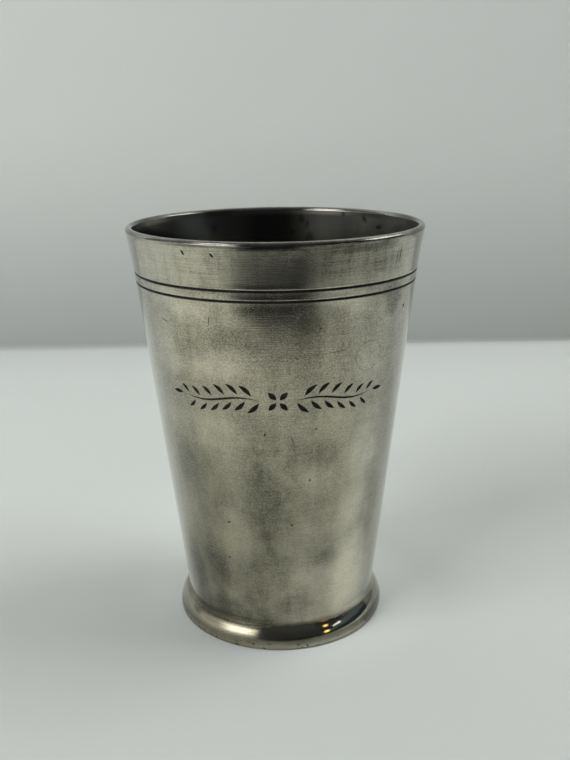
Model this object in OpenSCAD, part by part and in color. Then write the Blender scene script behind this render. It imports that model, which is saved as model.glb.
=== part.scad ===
// Pewter beaker: a tapered wall with a flared lip and two scribed lines, a base plate
// soldered into its lower end, and a turned foot ring that the wall and the plate seat in.
// The axis is +Z, the foot stands on z = 0, and every length is in millimetres.

/* [Wall] */
// Height of the beaker, from the table to the top of the lip
height = 105; // [85:1:130]
// Outside diameter at the lip
lip_d = 74.4; // [68:0.2:84]
// Thickness of the wall, measured level
wall_t = 1.8; // [1.2:0.1:2.4]
// How far the lip leans out past the straight taper
flare_out = 0.5; // [0.1:0.1:1.5]
// Height of the flared band under the lip
flare_h = 11.5; // [8:0.5:24]

/* [Scribed lines] */
// Number of lines scribed round the wall
line_count = 2; // [1:1:4]
// Distance from the top of the lip down to the upper line
line_drop = 10.8; // [6:0.1:20]
// Distance from one line to the next
line_pitch = 2.35; // [1.2:0.05:5]
// Width of a scribed line, which is half as deep
line_w = 0.5; // [0.3:0.05:0.8]

/* [Base plate] */
// Height of the underside of the plate above the table
plate_z = 3; // [2.6:0.1:4]
// Thickness of the plate
plate_t = 1.6; // [1:0.1:2.5]

/* [Foot ring] */
// Widest diameter of the foot
foot_d = 56; // [48:0.2:62]
// How far the foot stands out past the wall, with the wall's taper carried down to the table
foot_out = 3.25; // [2.6:0.05:4.5]
// Radius of the lower part of the swelling, which rises from the edge of the foot
swell_low_r = 7; // [6:0.1:8]
// Radius of the upper part of the swelling, which runs into the neck
swell_r = 9.9; // [8:0.1:14]
// Angle above level at which the lower part of the swelling gives way to the upper part
swell_turn = 22; // [15:1:26]
// Radius of the rounded bottom edge
edge_r = 0.5; // [0.4:0.1:1.2]
// Radius of the hollow where the foot runs into the wall
neck_r = 1.5; // [0.8:0.1:3]
// Thickness of the ring's top edge, where it ends against the wall
neck_land = 0.15; // [0.1:0.05:0.5]
// Width of the flat that stands on the table
rest_w = 2.6; // [1.6:0.1:3.6]
// Thickness of the ledge under the wall and the plate
ledge_t = 1.4; // [0.8:0.1:1.8]
// How far the ledge reaches in under the plate
ledge_w = 2.2; // [1.4:0.1:4]

/* [Solder] */
// Film of solder between faces that are sweated together
film_t = 0.05; // [0.02:0.01:0.1]
// Height and width of the seam round the floor, inside the beaker
floor_seam = 1.3; // [0.6:0.1:2.5]
// Height and width of the seam round the ledge, under the plate
ledge_seam = 0.9; // [0.5:0.1:1.2]

/* [Hidden] */
lip_r = lip_d / 2;
foot_r = foot_d / 2;
taper_r = foot_r - foot_out;
lip_z = height - wall_t / 2;
floor_z = plate_z + plate_t;

// Lean of the straight taper, and its level slope
lean = atan((lip_r - flare_out - taper_r) / lip_z);
slope = tan(lean);

// Steps along an arc, down the flare, round the axis and round a scribed line's section
arc_steps = 16;
flare_steps = 10;
turn_fn = 180;
line_fn = 32;

// How far the face of a seam is drawn in: 0 reaches the corner, 0.5 is a straight bevel
seam_hollow = 0.35;

satin = [0.58, 0.57, 0.52];
polished = [0.66, 0.65, 0.62];
dull = [0.45, 0.44, 0.41];
solder = [0.70, 0.70, 0.68];

// Outside radius of the wall at a height: a straight taper that flares towards the lip
function wall_r(z) =
    taper_r + slope * z + flare_out * pow(max(0, z - lip_z + flare_h) / flare_h, 2);

// Radius of the bore in the wall, and of the faces sweated to the wall on both sides
function bore_r(z) = wall_r(z) - wall_t;
function inside_fit_r(z) = bore_r(z) - film_t;
function outside_fit_r(z) = wall_r(z) + film_t;

// Points along an arc, from one angle to another
function arc(centre, radius, from, to, steps = arc_steps) =
    [for (i = [0:steps]) let (a = from + (to - from) * i / steps) centre + radius * [cos(a), sin(a)]];

// Outline of a hollow seam in a corner, between the ends of its two legs
function seam(corner, leg_a, leg_b) =
    let (a = corner + leg_a, b = corner + leg_b, pull = corner + seam_hollow * (leg_a + leg_b))
    concat([corner], [for (i = [0:arc_steps]) let (s = i / arc_steps)
        (1 - s) * (1 - s) * a + 2 * s * (1 - s) * pull + s * s * b]);

// Heights down the wall, from the lip to the foot of the flare
flare_zs = [for (i = [0:flare_steps]) lip_z - flare_h * i / flare_steps];

// Ledge of the foot ring, and the hollow under it
ledge_r = inside_fit_r(plate_z) - ledge_w;
hollow_r = foot_r - edge_r - rest_w;

// Neck of the foot ring: a hollow arc that touches the swelling and the ring's top edge
swell_low_centre = [foot_r - swell_low_r, edge_r];
swell_centre = swell_low_centre + (swell_low_r - swell_r) * [cos(swell_turn), sin(swell_turn)];
up_wall = [sin(lean), cos(lean)];
off_wall = [cos(lean), -sin(lean)];
neck_start = [outside_fit_r(0) + neck_land, 0] + neck_r * off_wall;
neck_rise = let (q = neck_start - swell_centre, along = q * up_wall)
    sqrt(along * along - q * q + pow(swell_r + neck_r, 2)) - along;
neck_centre = neck_start + neck_rise * up_wall;
swell_end = atan2(neck_centre[1] - swell_centre[1], neck_centre[0] - swell_centre[0]);
ring_top = neck_centre[1] - neck_r * off_wall[1];

// Turns an outline about the axis
module turned(outline) {
    rotate_extrude($fn = turn_fn) polygon(outline);
}

// Tapered wall, round at the lip, with its lines scribed outside
module body_wall() {
    lip_centre = [wall_r(lip_z) - wall_t / 2, lip_z];
    outline = concat(
        [[bore_r(plate_z), plate_z], [wall_r(plate_z), plate_z]],
        [for (i = [flare_steps:-1:1]) [wall_r(flare_zs[i]), flare_zs[i]]],
        arc(lip_centre, wall_t / 2, 0, 180),
        [for (i = [1:flare_steps]) [bore_r(flare_zs[i]), flare_zs[i]]]
    );
    color(satin) rotate_extrude($fn = turn_fn) difference() {
        polygon(outline);
        for (i = [0:line_count - 1]) scribed_line(height - line_drop - i * line_pitch);
    }
}

// Section of one line, cut by a round-nosed tool
module scribed_line(z) {
    translate([wall_r(z), z]) circle(d = line_w, $fn = line_fn);
}

// Floor of the beaker, with an edge that follows the bore
module base_plate() {
    color(dull) turned([
        [0, plate_z],
        [inside_fit_r(plate_z), plate_z],
        [inside_fit_r(floor_z), floor_z],
        [0, floor_z]
    ]);
}

// Turned foot with a tapered socket for the wall and a ledge under the wall and the plate
module foot_ring() {
    color(polished) turned(concat(
        [[hollow_r, 0]],
        arc([foot_r - edge_r, edge_r], edge_r, -90, 0),
        arc(swell_low_centre, swell_low_r, 0, swell_turn),
        arc(swell_centre, swell_r, swell_turn, swell_end),
        arc(neck_centre, neck_r, 180 + swell_end, 180 - lean),
        [
            [outside_fit_r(ring_top), ring_top],
            [outside_fit_r(plate_z), plate_z],
            [ledge_r, plate_z],
            [ledge_r, plate_z - ledge_t],
            [hollow_r, plate_z - ledge_t]
        ]
    ));
}

// Seam of solder in the corner between the floor and the wall
module floor_seam_solder() {
    color(solder) turned(seam(
        [inside_fit_r(floor_z), floor_z],
        [-floor_seam, 0],
        floor_seam * [slope, 1]
    ));
}

// Seam of solder in the corner between the plate and the ledge
module ledge_seam_solder() {
    color(solder) turned(seam(
        [ledge_r - film_t, plate_z],
        [-ledge_seam, 0],
        [0, -ledge_seam]
    ));
}

body_wall();
base_plate();
foot_ring();
floor_seam_solder();
ledge_seam_solder();
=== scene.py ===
# %% [markdown]
# # A pewter beaker
# The beaker is five turned pieces: a tapered wall, a base plate, a foot ring and two seams of
# solder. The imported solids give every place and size. This lesson gives each piece its fine shape
# and its finish. All lengths are in metres, the axis of the beaker is +Z, and the camera looks
# along +Y.

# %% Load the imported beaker
import math

import bpy
from mathutils import Matrix, Vector


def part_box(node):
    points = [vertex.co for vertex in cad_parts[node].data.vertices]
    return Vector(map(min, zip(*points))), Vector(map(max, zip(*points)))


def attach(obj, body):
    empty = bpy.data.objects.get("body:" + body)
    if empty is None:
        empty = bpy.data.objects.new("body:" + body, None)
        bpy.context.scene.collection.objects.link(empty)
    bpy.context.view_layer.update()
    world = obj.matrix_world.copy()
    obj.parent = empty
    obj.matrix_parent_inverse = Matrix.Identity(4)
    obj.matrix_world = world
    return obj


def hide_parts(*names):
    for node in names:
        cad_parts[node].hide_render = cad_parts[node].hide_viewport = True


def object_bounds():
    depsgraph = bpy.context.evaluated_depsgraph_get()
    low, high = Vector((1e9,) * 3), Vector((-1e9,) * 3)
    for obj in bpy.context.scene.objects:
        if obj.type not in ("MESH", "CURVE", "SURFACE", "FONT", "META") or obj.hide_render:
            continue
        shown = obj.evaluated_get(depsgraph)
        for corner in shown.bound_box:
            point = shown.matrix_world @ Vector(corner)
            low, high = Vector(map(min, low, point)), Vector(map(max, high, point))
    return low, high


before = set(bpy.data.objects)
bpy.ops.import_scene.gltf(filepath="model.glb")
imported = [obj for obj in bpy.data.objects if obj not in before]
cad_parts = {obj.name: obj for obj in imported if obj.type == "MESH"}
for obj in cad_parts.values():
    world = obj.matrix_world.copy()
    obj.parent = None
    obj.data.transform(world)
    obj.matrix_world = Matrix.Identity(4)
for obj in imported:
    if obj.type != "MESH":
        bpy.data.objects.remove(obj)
cad_low, cad_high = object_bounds()
MM = 0.001
print("packed box in mm:", [round(side / MM, 2) for side in cad_high - cad_low])

# %% [markdown]
# ## Camera
# The beaker was seen from a little above its lip, from close by, with the camera almost level from
# side to side. A real camera is set by where it stands and how it is turned, so the same three
# turns are multiplied here: roll about its own axis, then tilt, then heading. The lens follows
# from the focal length in pixels, because the sensor's width belongs to the picture's long side.

# %% Camera
CAMERA_BACK = 221.3 * MM
CAMERA_HIGH = 131.0 * MM
TILT_DOWN = math.radians(16.96)
HEADING = math.radians(0.5)
ROLL = math.radians(-0.74)
FOCAL_PIXELS = 876.1
PICTURE_LONG_SIDE = 760

bpy.ops.object.select_all(action="DESELECT")
bpy.ops.object.camera_add()
camera = bpy.context.active_object
camera.name = "camera"
camera.data.sensor_width = 36.0
camera.data.lens = FOCAL_PIXELS / PICTURE_LONG_SIDE * camera.data.sensor_width
camera.data.clip_start = 0.01
camera.matrix_world = (
    Matrix.Translation((0.0, -CAMERA_BACK, CAMERA_HIGH))
    @ Matrix.Rotation(-HEADING, 4, "Z")
    @ Matrix.Rotation(math.pi / 2 - TILT_DOWN, 4, "X")
    @ Matrix.Rotation(ROLL, 4, "Z")
)
bpy.context.scene.camera = camera
bpy.context.scene.view_settings.view_transform = "Standard"
print("lens in mm:", round(camera.data.lens, 2))

# %% [markdown]
# ## Sums on sockets
# A finish is worked out by nodes, and sums are easier to read as Python than as boxes and wires.
# So one small class holds a node's output socket, and its operators add Math nodes. Any other node
# comes from its one method, which takes the node's type, its settings, and what goes into its
# sockets. Colours never go through Math nodes, which would turn them grey: they are mixed.

# %% Wires and nodes
class Wire:
    """An output socket whose sums add Math nodes to its own tree."""

    def __init__(self, socket):
        self.socket = socket

    def node(self, kind, settings=(), sockets=(), out=0):
        """Adds a node: its settings first, then the value or the wire of each socket."""
        tree = self.socket.id_data
        made = tree.nodes.new(kind)
        for name, value in dict(settings).items():
            setattr(made, name, value)
        for name, value in dict(sockets).items():
            if isinstance(value, Wire):
                tree.links.new(value.socket, made.inputs[name])
            else:
                made.inputs[name].default_value = value
        return Wire(made.outputs[out])

    def math(self, operation, first, second=0.0):
        return self.node("ShaderNodeMath", {"operation": operation}, {0: first, 1: second})

    def vector(self, operation, first, second=(0.0, 0.0, 0.0), out=0):
        sockets = {0: first, 1: second}
        return self.node("ShaderNodeVectorMath", {"operation": operation}, sockets, out)

    def __add__(self, other):
        return self.math("ADD", self, other)

    __radd__ = __add__

    def __sub__(self, other):
        return self.math("SUBTRACT", self, other)

    def __rsub__(self, other):
        return self.math("SUBTRACT", other, self)

    def __mul__(self, other):
        return self.math("MULTIPLY", self, other)

    __rmul__ = __mul__

    def __truediv__(self, other):
        return self.math("DIVIDE", self, other)

    def ease(self, low, high):
        """0 below low, 1 above high, and smooth between them. It falls where low is the larger."""
        rising = {"Value": self, "From Min": min(low, high), "From Max": max(low, high)}
        rising["To Min"] = 0.0 if low < high else 1.0
        rising["To Max"] = 1.0 if low < high else 0.0
        return self.node("ShaderNodeMapRange", {"interpolation_type": "SMOOTHSTEP"}, rising)

    def mix(self, first, second):
        """Colour that goes from first to second as this wire goes from 0 to 1."""
        return self.node("ShaderNodeMix", {"data_type": "RGBA"}, {0: self, 6: first, 7: second}, 2)


def rgb(red, green, blue):
    """A colour as linear light, with the fourth number that sockets ask for."""
    return (red, green, blue, 1.0)


def new_finish(name):
    """A material, its Principled shader, and a wire of the piece's own coordinates."""
    material = bpy.data.materials.new(name)
    material.use_nodes = True
    shader = material.node_tree.nodes["Principled BSDF"]
    place = Wire(material.node_tree.nodes.new("ShaderNodeTexCoord").outputs["Object"])
    return material, shader, place


def feed(shader, **values):
    """Gives the shader's sockets, named with underscores, a wire or a plain value each."""
    for name, value in values.items():
        socket = shader.inputs[name.replace("_", " ")]
        if isinstance(value, Wire):
            value.socket.id_data.links.new(value.socket, socket)
        else:
            socket.default_value = value


def part_of(place, axis):
    """One of the three coordinates, by its number."""
    return place.node("ShaderNodeSeparateXYZ", (), {0: place}, axis)


def relief(height, strength, deep):
    """Normals that lean as on a surface with these heights."""
    sockets = {"Height": height, "Strength": strength, "Distance": deep}
    return height.node("ShaderNodeBump", (), sockets)


print("wires are ready")

# %% [markdown]
# ## Table and wall behind
# The beaker stands on a plain pale table in front of a plain pale wall. The wall is darker towards
# the table, where less light falls, and the two run softly into each other where they meet. Polished
# metal throws light back on the table, which a render follows only slowly and with much noise. So
# the table is given a paler colour close to the beaker instead. Both are only a stage: big planes
# with an even colour that changes slowly.

# %% Table
TABLE_GAP = 0.03 * MM
TABLE_COLOUR = rgb(0.57, 0.597, 0.573)
TABLE_BACK_COLOUR = rgb(0.655, 0.685, 0.66)
TABLE_LIT_COLOUR = rgb(0.72, 0.754, 0.724)
LIT_WIDE = (112 * MM, 35 * MM)
LIT_CLOSE = (48 * MM, 28 * MM)
WALL_BACK = 280 * MM
WALL_FOOT_COLOUR = rgb(0.37, 0.382, 0.37)
CORNER_SOFT = 11 * MM
TABLE_WIDE = 6.0


def flat_plane(name, matrix, size=1.0):
    """A square plane, which lies level at the origin until the matrix moves it."""
    bpy.ops.object.select_all(action="DESELECT")
    bpy.ops.mesh.primitive_plane_add(size=size)
    made = bpy.context.active_object
    made.name = name
    made.data.transform(matrix)
    return made


table = flat_plane("table", Matrix.Translation((0.0, 0.0, -TABLE_GAP)), TABLE_WIDE)
table_finish, table_shader, table_place = new_finish("table_white")
feed(table_shader, Roughness=0.75, Specular_IOR_Level=0.15)
table_x = part_of(table_place, 0)
table_y = part_of(table_place, 1)
table_colour = table_y.ease(-0.08, 0.24).mix(TABLE_COLOUR, TABLE_BACK_COLOUR)
from_axis = table_place.vector("LENGTH", table_place, out="Value")
behind = table_y.ease(0.0, 45 * MM) * (0.5 + 0.2 * table_x.ease(0.0, 30 * MM))
beside = 0.4 * table_x.ease(-15 * MM, 15 * MM) + 0.4 * table_y.ease(-15 * MM, 5 * MM)
thrown = behind * from_axis.ease(*LIT_WIDE) + beside * from_axis.ease(*LIT_CLOSE)
table_colour = thrown.mix(table_colour, TABLE_LIT_COLOUR)
at_wall = table_y.ease(WALL_BACK - CORNER_SOFT, WALL_BACK + CORNER_SOFT)
feed(table_shader, Base_Color=at_wall.mix(table_colour, WALL_FOOT_COLOUR))
table.data.materials.append(table_finish)
print("table:", table.name)

# %% Wall behind
WALL_WIDE = 3.0
WALL_TALL = 1.6
WALL_COLOUR = rgb(0.60, 0.62, 0.60)

backdrop = flat_plane(
    "backdrop",
    Matrix.Translation((0.0, WALL_BACK, WALL_TALL / 2 - TABLE_GAP))
    @ Matrix.Rotation(math.pi / 2, 4, "X")
    @ Matrix.Diagonal((WALL_WIDE, WALL_TALL, 1.0, 1.0)),
)
wall_finish, wall_shader, wall_place = new_finish("wall_white")
feed(wall_shader, Roughness=0.9, Specular_IOR_Level=0.0)
wall_z = part_of(wall_place, 2)
wall_colour = wall_z.ease(-0.03, 0.14).mix(WALL_FOOT_COLOUR, WALL_COLOUR)
feed(wall_shader, Base_Color=wall_z.ease(-3 * MM, 3 * MM).mix(TABLE_BACK_COLOUR, wall_colour))
backdrop.data.materials.append(wall_finish)
print("backdrop normal:", [round(part) for part in backdrop.data.polygons[0].normal])

# %% [markdown]
# ## Light
# Two large soft lights shine on the beaker: a window in front on the left and a lamp high on the
# right. Each throws one soft shadow. A softbox of a given brightness needs a power that grows with
# its area, so its power is worked out from its brightness. The world adds a plain pale light, and
# metal shows that world too.

# %% Softboxes
BEAKER_MIDDLE = (cad_low + cad_high) / 2


def towards(azimuth, elevation):
    """Direction from the beaker. Azimuth 0 is in front, and it grows to the right."""
    turn, rise = math.radians(azimuth), math.radians(elevation)
    return Vector((math.sin(turn) * math.cos(rise), -math.cos(turn) * math.cos(rise), math.sin(rise)))


def softbox(name, azimuth, elevation, distance, wide, tall, brightness):
    """An area light aimed at the beaker from a direction and a distance."""
    way = towards(azimuth, elevation)
    bpy.ops.object.select_all(action="DESELECT")
    bpy.ops.object.light_add(type="AREA", location=BEAKER_MIDDLE + distance * way)
    lamp = bpy.context.active_object
    lamp.name = name
    lamp.rotation_euler = (-way).to_track_quat("-Z", "Y").to_euler()
    lamp.data.shape = "RECTANGLE"
    lamp.data.size = wide
    lamp.data.size_y = tall
    lamp.data.energy = brightness * math.pi * wide * tall
    lamp.visible_camera = False
    lamp.visible_glossy = False
    return lamp


window = softbox("window", -54, 29, 0.9, 0.55, 0.5, 7.2)
side_lamp = softbox("side_lamp", 97, 56, 0.9, 0.5, 0.5, 5.0)
print("softboxes:", window.name, side_lamp.name)

# %% World
WORLD_SEEN = 0.58
WORLD_LIGHT = 0.2
WORLD_COLOUR = rgb(0.98, 1.0, 0.99)

studio = bpy.data.worlds.new("studio")
bpy.context.scene.world = studio
studio.use_nodes = True
background = studio.node_tree.nodes["Background"]
rays = studio.node_tree.nodes.new("ShaderNodeLightPath")
seen = Wire(rays.outputs["Is Camera Ray"]) + Wire(rays.outputs["Is Glossy Ray"])
seen = seen + Wire(rays.outputs["Is Transmission Ray"])
seen = seen.math("MINIMUM", seen, 1.0)
strength = WORLD_LIGHT + (WORLD_SEEN - WORLD_LIGHT) * seen
feed(background, Color=WORLD_COLOUR, Strength=strength)
print("world strength:", WORLD_SEEN, WORLD_LIGHT)

# %% [markdown]
# ## What the metal mirrors
# Metal looks like what it mirrors. Photographers stand cards round it, so that its edges and
# swellings read. Here a soft window is seen at the left and a dimmer one at the right. The room
# in front of the table and to its right is dark, and so are the ceiling and the upper part of the
# room on the left. Upright cards and one level card stand for the room, and a flat sheet, with
# soft edges, stands for the dark beyond the table's front edge, which thins out to the right. Two
# small warm lamps and a strip light in that room glint on the polished foot. Only glossy rays see
# all these: they light nothing, throw no shadow and only glow with the brightness that they have
# in the mirror.

# %% Upright cards
ROOM_BLACK = rgb(0.028, 0.03, 0.033)
ROOM_DARK = rgb(0.057, 0.06, 0.064)
ROOM_SHADE = rgb(0.026, 0.034, 0.04)
ROOM_BLUE = rgb(0.095, 0.115, 0.12)
ROOM_ABOVE = rgb(0.11, 0.11, 0.105)
ROOM_GREY = rgb(0.25, 0.25, 0.24)
ROOM_FRONT = -0.55
ROOM_SIDE = 0.75
FRONT_LEFT = -0.33
FRONT_TALL = 2.2
SIDE_TALL = 1.4


def mirrored_card(name, matrix, size=1.0):
    """A plane that glows and that only glossy rays see. Returns its shader and place."""
    card = flat_plane(name, matrix, size)
    card.visible_camera = False
    card.visible_diffuse = False
    card.visible_transmission = False
    card.visible_shadow = False
    glow, shader, place = new_finish(name)
    feed(shader, Base_Color=rgb(0.0, 0.0, 0.0), Specular_IOR_Level=0.0, Emission_Strength=1.0)
    card.data.materials.append(glow)
    return shader, place


def upright_card(name, left, right, high):
    """A card that stands on the table between two points, given as pairs of x and y."""
    across = Vector((right[0] - left[0], right[1] - left[1], 0.0))
    return mirrored_card(
        name,
        Matrix.Translation(((left[0] + right[0]) / 2, (left[1] + right[1]) / 2, high / 2))
        @ Matrix.Rotation(math.atan2(across.y, across.x), 4, "Z")
        @ Matrix.Rotation(math.pi / 2, 4, "X")
        @ Matrix.Diagonal((across.length, high, 1.0, 1.0)),
    )


front_corners = ((FRONT_LEFT, ROOM_FRONT), (ROOM_SIDE, ROOM_FRONT))
front_glow, front_place = upright_card("front_room", *front_corners, FRONT_TALL)
front_x = part_of(front_place, 0)
front_colour = part_of(front_place, 2).ease(0.0, 0.6).mix(ROOM_BLACK, ROOM_DARK)
feed(front_glow, Emission_Color=front_x.ease(0.35, 0.7).mix(front_colour, ROOM_SHADE))
feed(front_glow, Alpha=front_x.ease(FRONT_LEFT, FRONT_LEFT + 0.09))

right_corners = ((ROOM_SIDE, ROOM_FRONT), (ROOM_SIDE, WALL_BACK))
right_glow, right_place = upright_card("right_room", *right_corners, SIDE_TALL)
right_y = part_of(right_place, 1)
right_z = part_of(right_place, 2)
shelf = right_z.ease(0.1, 0.17) * right_z.ease(0.4, 0.25)
feed(right_glow, Emission_Color=shelf.mix(ROOM_SHADE, ROOM_BLUE))
right_top = 0.33 + 1.3 * right_y.math("MAXIMUM", 0.0 - right_y, 0.0) - right_z
feed(right_glow, Alpha=right_top.ease(-0.03, 0.03) * right_y.ease(WALL_BACK, WALL_BACK - 0.08))

left_corners = ((-ROOM_SIDE, WALL_BACK), (-ROOM_SIDE, ROOM_FRONT))
left_glow, left_place = upright_card("left_room", *left_corners, SIDE_TALL)
left_y = part_of(left_place, 1)
feed(left_glow, Emission_Color=left_y.ease(-0.45, 0.0).mix(ROOM_ABOVE, ROOM_GREY))
left_rise = part_of(left_place, 2) + 0.62 * left_y
feed(left_glow, Alpha=left_rise.ease(0.16, 0.24))
print("upright cards for the room: 3")

# %% Ceiling
CEILING_HIGH = 1.0
CEILING_WIDE = 2.6
CEILING_Y = -1.02

ceiling_move = Matrix.Translation((0.0, CEILING_Y, CEILING_HIGH))
ceiling_glow, ceiling_place = mirrored_card("ceiling", ceiling_move, CEILING_WIDE)
to_wall = part_of(ceiling_place, 1).ease(-0.6, WALL_BACK)
feed(ceiling_glow, Emission_Color=to_wall.mix(ROOM_ABOVE, ROOM_GREY))
print("ceiling in mm:", round(CEILING_HIGH / MM))

# %% Dark sheet
SHEET_NEAR = 120 * MM
SHEET_END = 1.1
SHEET_LEFT = -0.205
SHEET_LEFT_FADE = 0.09
SHEET_RIGHT = 0.34
SHEET_RIGHT_FADE = 0.12
EDGE_AWAY = 190 * MM
EDGE_SLANT = 0.2
EDGE_SOFT = 16 * MM

sheet_glow, sheet_place = mirrored_card(
    "dark_sheet",
    Matrix.Translation(((SHEET_LEFT + SHEET_RIGHT) / 2, -(SHEET_NEAR + SHEET_END) / 2, MM))
    @ Matrix.Diagonal((SHEET_RIGHT - SHEET_LEFT, SHEET_END - SHEET_NEAR, 1.0, 1.0)),
)
sheet_x = part_of(sheet_place, 0)
left_end = sheet_x.ease(SHEET_LEFT, SHEET_LEFT + SHEET_LEFT_FADE)
right_end = sheet_x.ease(SHEET_RIGHT, SHEET_RIGHT - SHEET_RIGHT_FADE)
right_end = right_end * (1 - 0.45 * sheet_x.ease(0.07, 0.15))
edge_y = EDGE_SLANT * sheet_x.math("MAXIMUM", sheet_x, 0.0) - EDGE_AWAY
front_edge = (part_of(sheet_place, 1) - edge_y).ease(EDGE_SOFT, -EDGE_SOFT)
feed(sheet_glow, Emission_Color=ROOM_BLACK, Alpha=left_end * right_end * front_edge)
print("sheet width in mm:", round((SHEET_RIGHT - SHEET_LEFT) / MM))

# %% Window and small lamps
def glow_card(name, azimuth, elevation, distance, wide, tall, colour, edge, strength, turn=0):
    """A glowing card that faces the beaker and goes from one colour to another at its edge."""
    middle = distance * towards(azimuth, elevation)
    shader, place = mirrored_card(
        name,
        Matrix.Translation(middle)
        @ middle.to_track_quat("Z", "Y").to_matrix().to_4x4()
        @ Matrix.Rotation(math.radians(turn), 4, "Z")
        @ Matrix.Diagonal((wide, tall, 1.0, 1.0)),
    )
    longest = max(wide, tall)
    to_edge = place.vector("DISTANCE", place, middle, "Value").ease(0.1 * longest, 0.6 * longest)
    feed(shader, Emission_Color=to_edge.mix(colour, edge), Emission_Strength=strength)


WHITE = rgb(1.0, 0.99, 0.95)
DIM_WHITE = rgb(0.3, 0.3, 0.29)
FADED_WHITE = rgb(0.06, 0.06, 0.058)
WARM = rgb(1.0, 0.72, 0.22)
DIM_WARM = rgb(0.3, 0.15, 0.03)
COOL = rgb(0.95, 0.92, 1.0)
glow_card("window_seen", -48, 20, 0.65, 0.56, 0.17, WHITE, FADED_WHITE, 3.0, 14)
glow_card("window_top", -56, 50, 0.7, 0.3, 0.24, WHITE, DIM_WHITE, 3.0)
glow_card("side_seen", 98, 38, 0.7, 0.5, 0.24, WHITE, DIM_WHITE, 2.4)
glow_card("lamp_low", 48.16, 10.08, 0.525, 0.06, 0.05, WARM, DIM_WARM, 3.2)
glow_card("lamp_high", 50.0, 25.1, 0.53, 0.05, 0.048, WARM, DIM_WARM, 3.2)
glow_card("strip_light", 60.65, 17.6, 0.52, 0.1175, 0.034, COOL, COOL, 1.7, 14)
print("windows and lamps: 6")

# %% Shades of the lamps
# Each shade hides its lamp from the lip and from the inside, but not from the foot.
glow_card("shade_low", 48.16, 15.8, 0.416, 0.12, 0.05, ROOM_BLACK, ROOM_BLACK, 1.0)
glow_card("shade_high", 50.0, 34.4, 0.303, 0.1, 0.08, ROOM_BLACK, ROOM_BLACK, 1.0)
glow_card("shade_side", 62.0, 29.0, 0.286, 0.06, 0.09, ROOM_BLACK, ROOM_BLACK, 1.0)
print("shades: 3")

# %% [markdown]
# ## Turning an outline
# Every piece of the beaker is turned on a lathe. A lathe is copied by drawing half of the section
# and spinning it about the axis. The outline is drawn as by hand: a plane is merged to one point,
# the point is moved to the start, and it is extruded from corner to corner.

# %% Lathe
TURN_STEPS = 288


def turn_outline(name, outline):
    """Spins a closed outline of radius and height pairs about the axis, as one closed mesh."""
    bpy.ops.object.select_all(action="DESELECT")
    bpy.ops.mesh.primitive_plane_add(size=MM)
    piece = bpy.context.active_object
    piece.name = name
    bpy.ops.object.mode_set(mode="EDIT")
    bpy.ops.mesh.select_mode(type="VERT")
    bpy.ops.mesh.select_all(action="SELECT")
    bpy.ops.mesh.merge(type="CENTER")
    bpy.ops.transform.translate(value=(outline[0][0], 0.0, outline[0][1]))
    for last, now in zip(outline, outline[1:] + outline[:1]):
        step = (now[0] - last[0], 0.0, now[1] - last[1])
        bpy.ops.mesh.extrude_vertices_move(TRANSFORM_OT_translate={"value": step})
    bpy.ops.mesh.select_all(action="SELECT")
    bpy.ops.mesh.spin(steps=TURN_STEPS, angle=2 * math.pi, center=(0, 0, 0), axis=(0, 0, 1))
    bpy.ops.mesh.select_all(action="SELECT")
    bpy.ops.mesh.remove_doubles(threshold=0.002 * MM)
    bpy.ops.mesh.normals_make_consistent(inside=False)
    bpy.ops.object.mode_set(mode="OBJECT")
    return piece


def arc(centre, radius, first, last, steps):
    """Points along an arc between two angles in radians."""
    angles = [first + (last - first) * step / steps for step in range(steps + 1)]
    return [(centre[0] + radius * math.cos(a), centre[1] + radius * math.sin(a)) for a in angles]


def choose(*pieces):
    """Selects these pieces only, and makes the first one active."""
    bpy.ops.object.select_all(action="DESELECT")
    for piece in pieces:
        piece.select_set(True)
    bpy.context.view_layer.objects.active = pieces[0]


def smooth(piece, angle=32):
    """Shades a piece smooth, but keeps edges sharper than the angle."""
    choose(piece)
    bpy.ops.object.shade_smooth_by_angle(angle=math.radians(angle))


print("steps round the axis:", TURN_STEPS)

# %% [markdown]
# ## Wall
# The wall is a tube that widens upwards by a constant slope and then flares a little under the
# lip. The lip is fully round, which makes it kind to the mouth. Two lines are scribed round it by
# a round-nosed tool. The whole section, lines included, is one outline on the lathe.

# %% Shape of the wall
WALL_THICK = 1.8 * MM
FLARE_OUT = 0.5 * MM
FLARE_HIGH = 11.5 * MM
FOOT_OUT = 3.25 * MM
wall_low, wall_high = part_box("body_wall")
foot_low, foot_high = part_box("foot_ring")
HEIGHT = wall_high.z
LIP_RADIUS = wall_high.x
FOOT_RADIUS = foot_high.x
SEAT_Z = wall_low.z
LIP_Z = HEIGHT - WALL_THICK / 2
TAPER_RADIUS = FOOT_RADIUS - FOOT_OUT
SLOPE = (LIP_RADIUS - FLARE_OUT - TAPER_RADIUS) / LIP_Z
LEAN = math.atan(SLOPE)


def wall_radius(z):
    """Outside radius of the wall at a height."""
    flare = max(0.0, z - LIP_Z + FLARE_HIGH) / FLARE_HIGH
    return TAPER_RADIUS + SLOPE * z + FLARE_OUT * flare**2


print("lean of the wall in degrees:", round(math.degrees(LEAN), 2))

# %% Outline of the wall
LINE_DROPS = (10.8 * MM, 13.15 * MM)
LINE_WIDE = 0.5 * MM
BURR = ((0.07 * MM, 0.02 * MM), (0.15 * MM, 0.03 * MM), (0.5 * MM, 0.018 * MM), (0.9 * MM, 0.0))
ROW = 1.0 * MM
LIP_STEPS = 14


def line_section(z):
    """Half round that the tool leaves, from its lower edge up, and the burr above it."""
    hollow = arc((wall_radius(z), z), LINE_WIDE / 2, 1.5 * math.pi, 0.5 * math.pi, 8)
    top = z + LINE_WIDE / 2
    burr = [(wall_radius(top + rise) + out, top + rise) for rise, out in BURR]
    return hollow + burr


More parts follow.
